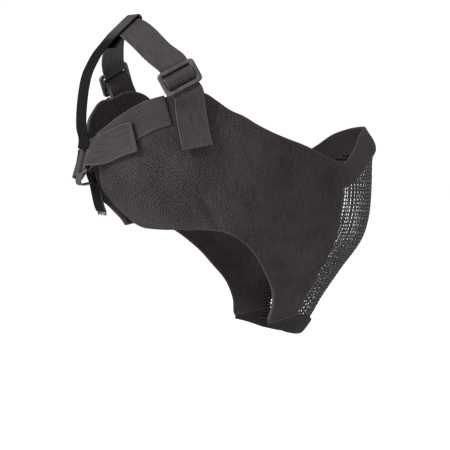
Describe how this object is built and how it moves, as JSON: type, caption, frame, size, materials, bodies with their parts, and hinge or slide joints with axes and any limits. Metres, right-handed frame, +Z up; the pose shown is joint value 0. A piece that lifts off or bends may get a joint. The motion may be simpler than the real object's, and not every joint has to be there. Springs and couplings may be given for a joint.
{
  "type": "mesh face mask",
  "caption": "Half face mask with a pierced steel cup, padded cloth side panels over cheek and ear, and a webbing harness with sliders round the crown and nape, shown as worn.",
  "frame": {"origin": "middle of the head between the ears, where the mask sits on its wearer", "axes": "-Y the way the face looks, +Z up, -X the wearer's right side"},
  "size_m": [0.1782, 0.2827, 0.2792],
  "materials": {
    "painted_steel": "satin black paint",
    "nylon_cloth": "coarse woven black nylon",
    "nylon_webbing": "ribbed black webbing",
    "moulded_plastic": "black moulded plastic with a soft gloss"
  },
  "bodies": {
    "root": {"face_mesh": "painted_steel", "nose_flap": "nylon_cloth", "cheek_panel_right": "nylon_cloth", "cheek_panel_left": "nylon_cloth", "chin_cover": "nylon_cloth", "crown_strap": "nylon_webbing", "slider_right": "moulded_plastic", "slider_left": "moulded_plastic", "slider_tab_right": "nylon_webbing", "slider_tab_left": "nylon_webbing", "back_strap": "nylon_webbing", "nape_strap_right": "nylon_webbing", "nape_strap_left": "nylon_webbing", "rear_slider": "moulded_plastic", "hanging_tail": "nylon_webbing", "rear_loop": "nylon_webbing"}
  },
  "joints": []
}
